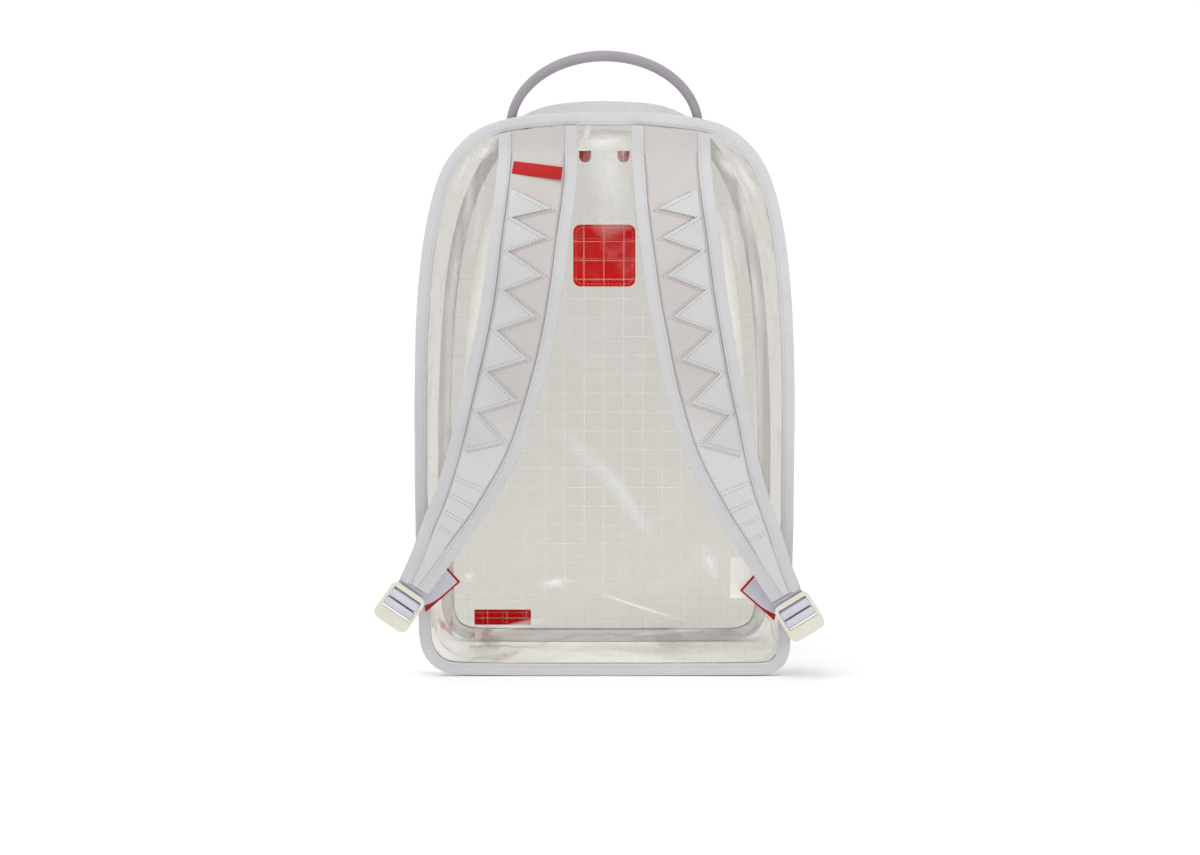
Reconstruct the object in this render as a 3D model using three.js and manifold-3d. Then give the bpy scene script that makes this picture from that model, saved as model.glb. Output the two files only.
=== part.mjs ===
// A clear film backpack with a zipped arch front, two padded shoulder straps and a carry handle.
// Millimetres, +Z up. The wearer's side faces -Y. The origin is the middle of the back seam's bottom edge.
import * as THREE from "three";
import { mergeVertices } from "three/addons/utils/BufferGeometryUtils.js";
import Module from "manifold-3d";

const wasm = await Module();
wasm.setup();

// Bag body
const bagHeight = 457;
const backWidth = 306;
const frontWidth = 280;
const bagDepth = 152;
const film = 1;
const gap = 0.3;
const bindingWidth = 10;
const bindingLip = 1.2;
const backCorners = { left: 38, right: 26 };
const frontCorners = { left: 34, right: 34 };

// Straps
const strapWidth = 63;
const strapBow = 36;
const padThickness = 7;
const padEdge = 3;
const padShoulder = 2;
const strapBindingWidth = 10;
const strapBindingLip = 1;
const padCrown = 0.2;
const overlayThickness = 0.8;
const overlayLeast = 2;
const zigzagTeeth = 7;

// Buckles and webbing
const webbingWidth = 25;
const webbingThickness = 1.2;
const buckle = { width: 31.6, length: 33, thick: 4, side: 3, topRim: 4, slot: 4.2, bar: 3, corner: 6 };
const buckleFromPad = 4.7;
const tab = { thick: 1, margin: 1.6, flare: 3, short: 16, long: 36 };
const stripEnd = { fromEdge: 26, up: 87, turn: 48.5, flat: 16, lifted: 27 };

// How each side's strap hangs: the buckle's turn, and how far its lower end sits inwards and down.
const hang = {
  left: { turn: 35, inward: 0, down: 0 },
  right: { turn: 32, inward: 7, down: 7 },
};

// Handle
const handleSpan = 156;
const handleLift = 46;
const handleSeatGap = 0.7;
const handleWidth = 28;
const handleThickness = 5;

// Zip
const tapeWidth = 26;
const teethWidth = 5;
const teethHeight = 1.8;
const slitWidth = 9;
const zipInset = { crown: 33, end: 28 };
const sliderSize = { length: 11, height: 8.5, plate: 1.8 };
const sliderSpread = 16;
const pin = { radius: 0.9, clearance: 0.4, standOff: 2.6 };
const ear = { radius: 2, thick: 1.2, room: 3.6 };
const pull = { width: 10, length: 19, thick: 2, neck: 2.8, shoulder: 3.6, slope: 1, eyeWall: 1 };

// Patches and labels
const patchSize = 52;
const patchCorner = 6;
const patchCentre = { across: 0, up: 327.5 };
const barLabel = { width: 48, height: 13, fromEdge: 30, up: 20 };
const strapLabel = { width: 39, height: 11, tilt: 7, station: 0.14 };
const careLabel = { width: 34, height: 33, fromEdge: 17, up: 80 };
const trimThickness = 0.8;
const trimCorner = 1;

const seamThick = 2 * bindingLip + 3 * gap + 2 * film;
const frontPlane = bagDepth - seamThick;
const layer = { near: gap / 2, far: gap / 2 + film };
const splitGap = 0.03;
const tipInset = bindingLip + gap;
const wallInset = bindingWidth + gap;

const tone = {
  film: { color: 0xe9e9e4, roughness: 0.08, metalness: 0, transparent: true, opacity: 0.3 },
  binding: { color: 0xd8d8de, roughness: 0.75, metalness: 0 },
  padCloth: { color: 0xd9d3d1, roughness: 0.8, metalness: 0 },
  overlay: { color: 0xe2e3e8, roughness: 0.7, metalness: 0 },
  webbing: { color: 0xcfccd8, roughness: 0.8, metalness: 0 },
  handle: { color: 0xc6bfcb, roughness: 0.8, metalness: 0 },
  zipCloth: { color: 0xd0cfcc, roughness: 0.8, metalness: 0 },
  zipTeeth: { color: 0xc8c7c4, roughness: 0.5, metalness: 0 },
  slider: { color: 0xc9c9cc, roughness: 0.35, metalness: 0.6 },
  red: { color: 0xc4120e, roughness: 0.3, metalness: 0 },
  cream: { color: 0xe8e4d4, roughness: 0.4, metalness: 0 },
  label: { color: 0xf2f1ee, roughness: 0.6, metalness: 0 },
};

const bag = new THREE.Group();

function piece(name, geometry, finish) {
  const mesh = new THREE.Mesh(geometry, new THREE.MeshStandardMaterial(tone[finish]));
  mesh.name = name;
  bag.add(mesh);
  return mesh;
}

// A closed solid through rings of points, each ring in the same order.
// section gives the flat form of its two ends.
function loft(rings, section, closed = false) {
  const size = rings[0].length;
  const index = [];
  const steps = closed ? rings.length : rings.length - 1;
  for (let i = 0; i < steps; i++) {
    const here = i * size;
    const next = ((i + 1) % rings.length) * size;
    for (let j = 0; j < size; j++) {
      const k = (j + 1) % size;
      index.push(here + j, next + j, next + k, here + j, next + k, here + k);
    }
  }
  if (!closed) {
    const last = (rings.length - 1) * size;
    const turn = THREE.ShapeUtils.isClockWise(section) ? -1 : 1;
    for (const [a, b, c] of THREE.ShapeUtils.triangulateShape(section, [])) {
      if (turn > 0) index.push(a, b, c, last + a, last + c, last + b);
      else index.push(a, c, b, last + a, last + b, last + c);
    }
  }
  const points = rings.flat();
  let volume = 0;
  for (let i = 0; i < index.length; i += 3) {
    const [a, b, c] = [points[index[i]], points[index[i + 1]], points[index[i + 2]]];
    volume += a.dot(new THREE.Vector3().crossVectors(b, c));
  }
  if (volume < 0) index.reverse();
  return new THREE.BufferGeometry().setFromPoints(points).setIndex(index);
}

const flat = (rows) => rows.map(([u, v]) => new THREE.Vector2(u, v));

// A flat plate of a shape drawn in X and Z, from y = rear to y = rear + thick.
function plate(shape, rear, thick, curveSegments = 6) {
  const solid = new THREE.ExtrudeGeometry(shape, { depth: thick, bevelEnabled: false, curveSegments });
  return solid.rotateX(Math.PI / 2).translate(0, rear + thick, 0);
}

function solidOf(geometry) {
  const bare = geometry.clone();
  bare.deleteAttribute("normal");
  bare.deleteAttribute("uv");
  const merged = mergeVertices(bare, 1e-4);
  const vertProperties = new Float32Array(merged.attributes.position.array);
  const triVerts = new Uint32Array(merged.index.array);
  return new wasm.Manifold(new wasm.Mesh({ numProp: 3, vertProperties, triVerts }));
}

function geometryOf(solid) {
  const mesh = solid.getMesh();
  return new THREE.BufferGeometry()
    .setAttribute("position", new THREE.BufferAttribute(mesh.vertProperties, 3))
    .setIndex(new THREE.BufferAttribute(mesh.triVerts, 1));
}

// Outline of a bag face, as shares of its half width and its height, from the bottom corner to the crown.
const backRows = [
  { across: 0.985, up: 0.12 },
  { across: 0.996, up: 0.22 },
  { across: 1, up: 0.36 },
  { across: 1, up: 0.5 },
  { across: 0.984, up: 0.66 },
  { across: 0.941, up: 0.79 },
  { across: 0.872, up: 0.884 },
  { across: 0.772, up: 0.9385 },
  { across: 0.615, up: 0.979 },
  { across: 0.33, up: 0.997 },
];
const frontRows = [
  { across: 0.985, up: 0.12 },
  { across: 0.996, up: 0.2 },
  { across: 1, up: 0.34 },
  { across: 0.99, up: 0.5 },
  { across: 0.96, up: 0.64 },
  { across: 0.905, up: 0.75 },
  { across: 0.82, up: 0.84 },
  { across: 0.7, up: 0.907 },
  { across: 0.56, up: 0.956 },
  { across: 0.36, up: 0.991 },
];
const cornerSteps = 5;
const spanSteps = 2;

function faceOutline(width, rows, corners) {
  const half = width / 2;
  const foot = rows[0].across * half;
  const corner = (side, radius) => [
    new THREE.Vector2(side * (foot - radius), 0),
    new THREE.Vector2(side * foot, 0),
    new THREE.Vector2(side * foot, radius),
  ];
  const right = corner(1, corners.right);
  const left = corner(-1, corners.left).reverse();
  const spot = (side) => (row) => new THREE.Vector2(side * row.across * half, row.up * bagHeight);
  const crown = new THREE.Vector2(0, bagHeight);
  const arch = [right[2], ...rows.map(spot(1)), crown, ...rows.map(spot(-1)).reverse(), left[0]];
  const spots = [
    ...new THREE.QuadraticBezierCurve(...right).getPoints(cornerSteps),
    ...new THREE.SplineCurve(arch).getPoints((arch.length - 1) * spanSteps).slice(1),
    ...new THREE.QuadraticBezierCurve(...left).getPoints(cornerSteps).slice(1),
  ];
  return spots.map((here, i) => {
    const before = spots[(i + spots.length - 1) % spots.length];
    const after = spots[(i + 1) % spots.length];
    const run = after.clone().sub(before).normalize();
    return { x: here.x, z: here.y, nx: -run.y, nz: run.x };
  });
}

const backOutline = faceOutline(backWidth, backRows, backCorners);
const frontOutline = faceOutline(frontWidth, frontRows, frontCorners);
const stations = backOutline.length;
const mirrored = (step) => stations - 1 - step;

// A point of an outline at a whole or part step of its way round, moved inwards by inset.
function spotAt(outline, step, inset, y) {
  const i = Math.floor(step);
  const part = step - i;
  const a = outline[i % stations];
  const b = outline[(i + 1) % stations];
  const mix = (key) => a[key] * (1 - part) + b[key] * part;
  return new THREE.Vector3(mix("x") + mix("nx") * inset, y, mix("z") + mix("nz") * inset);
}

const flatSpot = (p) => new THREE.Vector2(p.x, p.z);

function faceShape(outline, inset) {
  return new THREE.Shape(outline.map((_, i) => flatSpot(spotAt(outline, i, inset, 0))));
}

// Binding: a folded tape round a seam, open inwards to hold the two layers of film.
function faceBinding(outline, y) {
  const half = seamThick / 2;
  const inner = half - bindingLip;
  const section = [
    [0, -half], [bindingWidth, -half], [bindingWidth, -inner], [bindingLip, -inner],
    [bindingLip, inner], [bindingWidth, inner], [bindingWidth, half], [0, half],
  ];
  const rings = outline.map((_, i) => section.map(([inset, out]) => spotAt(outline, i, inset, y + out)));
  return loft(rings, flat(section), true);
}

// The two ends of a stretch of an outline and the whole steps between them.
function stepsFrom(from, to) {
  const first = Math.floor(from) + 1;
  const between = Array.from({ length: Math.ceil(to) - first }, (_, k) => first + k);
  return [from, ...between, to];
}

// Gusset wall from the back seam to the front seam, with a flange in each binding.
function gusset(from, to) {
  const back = [
    [tipInset, layer.near], [tipInset, layer.far], [wallInset, layer.far],
  ];
  const front = [
    [wallInset, frontPlane - layer.far], [tipInset, frontPlane - layer.far],
    [tipInset, frontPlane - layer.near], [wallInset + film, frontPlane - layer.near],
  ];
  const last = [wallInset + film, layer.near];
  const rings = stepsFrom(from, to).map((step) => [
    ...back.map(([inset, y]) => spotAt(backOutline, step, inset, y)),
    ...front.map(([inset, y]) => spotAt(frontOutline, step, inset, y)),
    spotAt(backOutline, step, ...last),
  ]);
  return loft(rings, flat([...back, ...front, last]));
}

piece("back_panel", plate(faceShape(backOutline, tipInset), -layer.far, film), "film");
piece("side_gusset", gusset(cornerSteps + splitGap, mirrored(cornerSteps) - splitGap), "film");
piece("bottom_panel", gusset(mirrored(cornerSteps) + splitGap, stations + cornerSteps - splitGap), "film");
piece("back_binding", faceBinding(backOutline, 0), "binding");
piece("front_binding", faceBinding(frontOutline, frontPlane), "binding");

// Zip: an arch that follows the front outline and runs out to its side seams at mid height.
const zipFrom = cornerSteps + 6;
const zipTo = mirrored(zipFrom);
const zipMiddle = (stations - 1) / 2;
function zipRing(step, side, y) {
  const away = Math.abs(step - zipMiddle) / (zipMiddle - zipFrom);
  const inset = zipInset.crown + (zipInset.end - zipInset.crown) * away ** 2;
  return spotAt(frontOutline, step, inset + side, y);
}
const zipSteps = stepsFrom(zipFrom, zipTo);
function zipStrip(half, near, far) {
  const section = [[-half, near], [half, near], [half, far], [-half, far]];
  return loft(zipSteps.map((step) => section.map(([side, y]) => zipRing(step, side, y))), flat(section));
}
piece("zip_tape", zipStrip(tapeWidth / 2, frontPlane - layer.far, frontPlane - layer.near), "zipCloth");
const teethFace = frontPlane + layer.near + teethHeight;
piece("zip_teeth", zipStrip(teethWidth / 2, frontPlane + layer.near, teethFace), "zipTeeth");

// The front film is cut along the zip: an arch band outside it and the main panel inside it.
const slitEdge = (side) => zipSteps.map((step) => flatSpot(zipRing(step, (side * slitWidth) / 2, 0)));
const rimSpot = (step) => flatSpot(spotAt(frontOutline, step, tipInset, 0));
const rimEdge = (from, to) => stepsFrom(from, to).map(rimSpot);
const frontBand = new THREE.Shape([...rimEdge(zipFrom, zipTo), ...slitEdge(-1).reverse()]);
piece("front_band", plate(frontBand, frontPlane + layer.near, film), "film");
const mainRim = rimEdge(zipTo + splitGap, stations + zipFrom - splitGap);
const frontMain = new THREE.Shape([...mainRim, ...slitEdge(1)]);
piece("front_panel", plate(frontMain, frontPlane + layer.near, film), "film");

// Slider and pull: the pull's eye turns on a pin between the slider's two ears.
const sliderPlateFace = teethFace + gap + sliderSize.plate;
const pinY = sliderPlateFace + pin.standOff;
const pinZ = bagHeight - zipInset.crown;
const rod = (radius, length, x) =>
  new THREE.CylinderGeometry(radius, radius, length, 12).rotateZ(Math.PI / 2).translate(x, pinY, pinZ);

function sliderBody(x) {
  const base = new THREE.BoxGeometry(sliderSize.length, sliderSize.plate, sliderSize.height);
  let solid = solidOf(base.translate(x, sliderPlateFace - sliderSize.plate / 2, pinZ));
  for (const side of [-1, 1]) {
    const earX = x + (side * (ear.room + ear.thick)) / 2;
    solid = solid.add(solidOf(rod(ear.radius, ear.thick, earX)));
    const post = new THREE.BoxGeometry(ear.thick, pin.standOff + gap, 2 * ear.radius);
    solid = solid.add(solidOf(post.translate(earX, sliderPlateFace + (pin.standOff - gap) / 2, pinZ)));
  }
  return geometryOf(solid.add(solidOf(rod(pin.radius, ear.room + ear.thick, x))));
}

function pullTag(x) {
  const half = pull.width / 2;
  const neck = pull.neck / 2;
  const tip = pinZ - pull.length;
  const top = pinZ - pull.shoulder;
  const shape = new THREE.Shape()
    .moveTo(x - neck, pinZ)
    .lineTo(x - neck, top)
    .lineTo(x - half, top - pull.slope)
    .lineTo(x - half, tip + half)
    .absarc(x, tip + half, half, Math.PI, 2 * Math.PI)
    .lineTo(x + half, top - pull.slope)
    .lineTo(x + neck, top)
    .lineTo(x + neck, pinZ);
  const eye = pin.radius + pin.clearance;
  const tag = solidOf(plate(shape, pinY - pull.thick / 2, pull.thick));
  const ring = solidOf(rod(eye + pull.eyeWall, pull.neck, x));
  return geometryOf(tag.add(ring).subtract(solidOf(rod(eye, 2 * pull.neck, x))));
}
for (const [name, side] of [["left", -1], ["right", 1]]) {
  piece(`zip_slider_${name}`, sliderBody(side * sliderSpread), "slider");
  piece(`zip_pull_${name}`, pullTag(side * sliderSpread), "red");
}

// Height of the gusset wall's outer face near its crown, at a place across and back from the strap side.
function wallTop(across, y) {
  const part = (y - layer.far) / (frontPlane - 2 * layer.far);
  const wallSpot = (step) =>
    spotAt(backOutline, step, wallInset, y).lerp(spotAt(frontOutline, step, wallInset, y), part);
  let step = cornerSteps;
  while (wallSpot(step).x > across) step += splitGap;
  return wallSpot(step).z;
}

// Carry handle: a flat band bent over half an ellipse, with its feet cut to the top of the gusset.
const handleY = seamThick / 2 + 2 * gap + handleWidth / 2;
function carryHandle() {
  const steps = 22;
  const half = handleWidth / 2;
  const soft = handleThickness / 3;
  const seat = wallTop(handleSpan / 2 - handleThickness, handleY - half) + handleSeatGap;
  const rise = bagHeight + handleLift - seat;
  const section = [
    [0, soft - half], [0, half - soft], [soft, half], [handleThickness - soft, half],
    [handleThickness, half - soft], [handleThickness, soft - half],
    [handleThickness - soft, -half], [soft, -half],
  ];
  const rings = Array.from({ length: steps + 1 }, (_, i) => {
    const angle = (Math.PI * i) / steps;
    return section.map(([inner, side]) => {
      const x = (handleSpan / 2 - inner) * Math.cos(angle);
      const y = handleY + side;
      const foot = i % steps === 0;
      const arch = seat + (rise - inner) * Math.sin(angle);
      return new THREE.Vector3(x, y, foot ? wallTop(Math.abs(x), y) + handleSeatGap : arch);
    });
  });
  return loft(rings, flat(section));
}
piece("carry_handle", carryHandle(), "handle");

// Shoulder straps: rows down each strap, as shares of the back's half width, its height, the bow,
// the strap width, the pad's thickness and that side's hang.
const strapRows = [
  { across: 0.345, up: 0.952, bow: 0, width: 1, body: 0.55, hang: 0 },
  { across: 0.346, up: 0.918, bow: 0.12, width: 1, body: 0.9, hang: 0 },
  { across: 0.36, up: 0.86, bow: 0.5, width: 1, body: 1, hang: 0 },
  { across: 0.39, up: 0.785, bow: 0.84, width: 1, body: 1, hang: 0 },
  { across: 0.432, up: 0.68, bow: 1, width: 1, body: 1, hang: 0 },
  { across: 0.503, up: 0.565, bow: 1, width: 0.99, body: 1, hang: 0.15 },
  { across: 0.595, up: 0.45, bow: 0.92, width: 0.93, body: 1, hang: 0.35 },
  { across: 0.714, up: 0.345, bow: 0.76, width: 0.75, body: 1, hang: 0.5 },
  { across: 0.84, up: 0.267, bow: 0.56, width: 0.61, body: 0.9, hang: 0.7 },
  { across: 0.92, up: 0.214, bow: 0.44, width: 0.5, body: 0.6, hang: 0.85 },
  { across: 1, up: 0.168, bow: 0.36, width: 0.42, body: 0.5, hang: 1 },
];
const strapSteps = 24;
const strapBack = layer.far + gap + padEdge / 2 + gap + strapBindingLip;

function strapFrames(name, side, shares) {
  const { inward, down } = hang[name];
  const places = strapRows.map((row) => {
    const x = (row.across * backWidth) / 2 - row.hang * inward;
    return new THREE.Vector3(side * x, -strapBack - row.bow * strapBow, row.up * bagHeight - row.hang * down);
  });
  const line = new THREE.CatmullRomCurve3(places);
  const sizes = strapRows.map((row) => new THREE.Vector3(row.width * strapWidth, row.body, 0));
  const form = new THREE.CatmullRomCurve3(sizes);
  return shares.map((share) => {
    const run = line.getTangent(share);
    const across = new THREE.Vector3(0, -1, 0).cross(run).multiplyScalar(side).normalize();
    const out = run.clone().cross(across).multiplyScalar(side).normalize();
    if (out.y > 0) out.negate();
    if (across.x * side < 0) across.negate();
    const size = form.getPoint(share);
    return { at: line.getPoint(share), across, out, half: size.x / 2, body: size.y };
  });
}
function spread(count, from = 0, to = 1) {
  return Array.from({ length: count + 1 }, (_, i) => from + ((to - from) * i) / count);
}
const onFrame = (f, u, v) => f.at.clone().addScaledVector(f.across, u).addScaledVector(f.out, v);

// Height of the back binding's inner edge over a place on the crown.
function rimUnder(across) {
  let step = cornerSteps;
  while (spotAt(backOutline, step, wallInset, 0).x > across) step += splitGap;
  return spotAt(backOutline, step, wallInset, 0).z;
}

// A strap's top is cut to run along the back binding's inner edge.
function strapLoft(frames, sectionOf) {
  const rings = frames.map((f) => sectionOf(f).map(([u, v]) => onFrame(f, u, v)));
  for (const p of rings[0]) p.z = rimUnder(Math.abs(p.x)) - gap;
  return loft(rings, flat(sectionOf(frames[0])));
}

const padFace = (f) => Math.max((padThickness / 2) * f.body, padEdge / 2 + padCrown);
function padSection(f) {
  const tip = f.half - strapBindingLip - gap;
  const step = f.half - strapBindingWidth - gap;
  const flatHalf = step - padShoulder;
  const thin = padEdge / 2;
  const full = padFace(f);
  return [
    [-tip, thin], [-step, thin], [-flatHalf, full], [flatHalf, full], [step, thin], [tip, thin],
    [tip, -thin], [step, -thin], [flatHalf, -full], [-flatHalf, -full], [-step, -thin], [-tip, -thin],
  ];
}

function strapBindingSection(edge) {
  const inner = padEdge / 2 + gap;
  const outer = inner + strapBindingLip;
  return (f) => {
    const fold = f.half - strapBindingLip;
    const rim = f.half - strapBindingWidth;
    const tape = [
      [f.half, outer], [f.half, -outer], [rim, -outer], [rim, -inner],
      [fold, -inner], [fold, inner], [rim, inner], [rim, outer],
    ];
    return tape.map(([u, v]) => [edge * u, v]);
  };
}

// Second cloth on the outer half of each strap, with an even zigzag edge.
const zigzagShare = { from: 0.2, to: 0.64, tip: -0.22, root: 0.24 };
function overlaySection(f, reach) {
  const outer = f.half - strapBindingWidth - padShoulder - 2 * gap;
  const inner = Math.min(reach * 2 * f.half, outer - overlayLeast);
  const near = padFace(f) + gap;
  return [[inner, near], [outer, near], [outer, near + overlayThickness], [inner, near + overlayThickness]];
}

// The buckle hangs from the pad's end, in line with that side's turn.
function buckleFrame(name, side, padEnd) {
  const turn = THREE.MathUtils.degToRad(hang[name].turn);
  const along = new THREE.Vector3(side * Math.sin(turn), 0, -Math.cos(turn));
  const across = new THREE.Vector3(side * Math.cos(turn), 0, Math.sin(turn));
  const out = new THREE.Vector3(0, -1, 0);
  const at = padEnd.clone().addScaledVector(along, buckle.length / 2 + buckleFromPad);
  return { at, along, across, out };
}
const inBuckle = (b, s, w, n) =>
  b.at.clone().addScaledVector(b.along, s).addScaledVector(b.across, w).addScaledVector(b.out, n);

function roundedBox(halfWidth, top, bottom, radius) {
  const turn = Math.PI / 2;
  return new THREE.Shape()
    .moveTo(-halfWidth + radius, bottom)
    .absarc(halfWidth - radius, bottom + radius, radius, -turn, 0)
    .absarc(halfWidth - radius, top - radius, radius, 0, turn)
    .absarc(-halfWidth + radius, top - radius, radius, turn, 2 * turn)
    .absarc(-halfWidth + radius, bottom + radius, radius, 2 * turn, 3 * turn);
}

// Buckle drawn with its length down the page, then laid along the strap's end.
const pitch = buckle.slot + buckle.bar;
const firstSlot = -buckle.length / 2 + buckle.topRim;
function ladderBuckle(frame, side) {
  const shape = roundedBox(buckle.width / 2, buckle.length / 2, -buckle.length / 2, buckle.corner);
  const halfSlot = buckle.width / 2 - buckle.side;
  for (const k of [0, 1, 2]) {
    const top = -firstSlot - k * pitch;
    const hole = new THREE.Path()
      .moveTo(-halfSlot, top)
      .lineTo(-halfSlot, top - buckle.slot)
      .lineTo(halfSlot, top - buckle.slot)
      .lineTo(halfSlot, top);
    shape.holes.push(hole);
  }
  const cast = { depth: buckle.thick, bevelEnabled: false, curveSegments: 4 };
  const slab = new THREE.ExtrudeGeometry(shape, cast);
  const right = frame.across.clone().multiplyScalar(side);
  const basis = new THREE.Matrix4().makeBasis(right, frame.along.clone().negate(), frame.out);
  return slab.translate(0, 0, -buckle.thick / 2).applyMatrix4(basis.setPosition(frame.at));
}

// A flat ribbon along a route of stations, each with its place, its run and its across direction.
function ribbon(route, thick) {
  const half = webbingWidth / 2;
  const rings = route.map(({ at, across }, i) => {
    const before = route[Math.max(i - 1, 0)].at;
    const after = route[Math.min(i + 1, route.length - 1)].at;
    const run = after.clone().sub(before).normalize();
    const face = run.clone().cross(across).normalize();
    return [[-half, -1], [half, -1], [half, 1], [-half, 1]].map(([u, v]) =>
      at.clone().addScaledVector(across, u).addScaledVector(face, (v * thick) / 2),
    );
  });
  return loft(rings, flat([[-half, -1], [half, -1], [half, 1], [-half, 1]]));
}

// Routes through the buckle, from the middle of its first slot: along in shares of slot and bar,
// off its middle in shares of its clear face, and how many layers of webbing lie between.
const tongueRoute = [
  { along: -1.125, off: -1, layers: 0 },
  { along: -0.15, off: -1, layers: 0 },
  { along: 0, off: 0, layers: 0 },
  { along: 0.21, off: 0.86, layers: 0 },
  { along: 0.5, off: 1, layers: 0 },
  { along: 0.8, off: 0.83, layers: 0 },
  { along: 0.85, off: 0, layers: 0 },
  { along: 0.78, off: -1.1, layers: 0 },
  { along: 0.49, off: -1, layers: 1 },
  { along: -0.85, off: -1, layers: 1 },
];
const webbingRoute = [
  { along: 0.57, off: -1, layers: 2 },
  { along: 1.71, off: -0.8, layers: 2 },
  { along: 2.06, off: -1, layers: 0 },
  { along: 2.06, off: 0, layers: 0 },
  { along: 1.83, off: 0.9, layers: 0 },
  { along: 1.5, off: 1, layers: 0 },
  { along: 1.19, off: 0.83, layers: 0 },
  { along: 1.15, off: 0, layers: 0 },
  { along: 1.22, off: -1.07, layers: 0 },
  { along: 1.5, off: -1.14, layers: 0 },
];
const clearFace = buckle.thick / 2 + gap + webbingThickness / 2;
const layerStep = webbingThickness + gap;
const seamStack = seamThick / 2 + gap + tab.thick;

function throughBuckle(frame, route) {
  return route.map(({ along, off, layers }) => {
    const s = firstSlot + buckle.slot / 2 + along * pitch;
    return { at: inBuckle(frame, s, 0, off * clearFace - layers * layerStep), across: frame.across };
  });
}

for (const [name, side] of [["left", -1], ["right", 1]]) {
  const frames = strapFrames(name, side, spread(strapSteps));
  piece(`strap_pad_${name}`, strapLoft(frames, padSection), "padCloth");
  piece(`strap_binding_outer_${name}`, strapLoft(frames, strapBindingSection(1)), "binding");
  piece(`strap_binding_inner_${name}`, strapLoft(frames, strapBindingSection(-1)), "binding");

  const teeth = strapFrames(name, side, spread(2 * zigzagTeeth, zigzagShare.from, zigzagShare.to));
  const reach = (i) => (i % 2 === 1 ? zigzagShare.tip : zigzagShare.root);
  const overlay = teeth.map((f, i) => overlaySection(f, reach(i)).map(([u, v]) => onFrame(f, u, v)));
  piece(`strap_overlay_${name}`, loft(overlay, flat(overlaySection(teeth[0], zigzagShare.root))), "overlay");

  // The pad's tongue loops round the buckle's first bar, and the webbing round its second.
  const end = frames[frames.length - 1];
  const frame = buckleFrame(name, side, end.at);
  piece(`buckle_${name}`, ladderBuckle(frame, side), "cream");
  const padTip = end.at.clone().addScaledVector(frame.along, gap + 1.5 * webbingThickness);
  const tongue = [{ at: padTip, across: frame.across }, ...throughBuckle(frame, tongueRoute)];
  piece(`strap_tongue_${name}`, ribbon(tongue, webbingThickness), "webbing");

  const turn = THREE.MathUtils.degToRad(stripEnd.turn);
  const stripAcross = new THREE.Vector3(side * Math.cos(turn), 0, Math.sin(turn));
  const stripRun = new THREE.Vector3(side * Math.sin(turn), 0, -Math.cos(turn));
  const stripX = side * (backWidth / 2 - stripEnd.fromEdge - hang[name].inward);
  const stripY = -(seamStack + gap + webbingThickness / 2);
  const stripStart = new THREE.Vector3(stripX, stripY, stripEnd.up - hang[name].down);
  const along = (distance) => stripStart.clone().addScaledVector(stripRun, distance);
  const webbing = [
    { at: stripStart, across: stripAcross },
    { at: along(stripEnd.flat), across: stripAcross },
    { at: along(stripEnd.lifted), across: stripAcross.clone().lerp(frame.across, 0.5).normalize() },
    ...throughBuckle(frame, webbingRoute),
  ];
  piece(`webbing_${name}`, ribbon(webbing, webbingThickness), "webbing");

  // Tab sewn in the side seam under the webbing's end.
  const wide = webbingWidth / 2 + tab.margin;
  const corner = (u, s) => flatSpot(along(s).addScaledVector(stripAcross, u));
  const corners = [
    [-wide, -tab.margin], [wide, -tab.margin], [wide + tab.flare, tab.short], [-wide, tab.long],
  ];
  const sheet = new THREE.Shape(corners.map(([u, s]) => corner(u, s)));
  piece(`seam_tab_${name}`, plate(sheet, -seamStack, tab.thick), "red");
}

// Patches and labels
function badge(size, corner, centre, rear) {
  const shape = roundedBox(size.width / 2, size.height / 2, -size.height / 2, corner);
  return plate(shape, rear, trimThickness, 3).translate(centre.across, 0, centre.up);
}
const frontFace = frontPlane + layer.far + gap;
const patch = { width: patchSize, height: patchSize };
piece("front_patch", badge(patch, patchCorner, patchCentre, frontFace), "red");
function fromEdge(side, width, label) {
  return { across: side * (width / 2 - label.fromEdge - label.width / 2), up: label.up };
}
const barCentre = fromEdge(-1, frontWidth, barLabel);
piece("front_bar_label", badge(barLabel, trimCorner, barCentre, frontFace), "red");
const careCentre = fromEdge(1, backWidth, careLabel);
piece("inner_label", badge(careLabel, trimCorner, careCentre, gap - layer.near), "label");

const [seat] = strapFrames("left", -1, [strapLabel.station]);
const tilt = THREE.MathUtils.degToRad(strapLabel.tilt);
const labelRun = seat.across.clone().negate().applyAxisAngle(seat.out, -tilt);
const labelUp = seat.out.clone().cross(labelRun);
const labelBasis = new THREE.Matrix4().makeBasis(labelRun, labelUp, seat.out);
const labelAt = onFrame(seat, 0, padFace(seat) + gap + trimThickness / 2);
const labelPlate = new THREE.BoxGeometry(strapLabel.width, strapLabel.height, trimThickness);
piece("strap_label", labelPlate.applyMatrix4(labelBasis.setPosition(labelAt)), "red");

export default bag;
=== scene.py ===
import math

import bpy
from mathutils import Matrix, Vector
from mathutils.kdtree import KDTree


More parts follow.
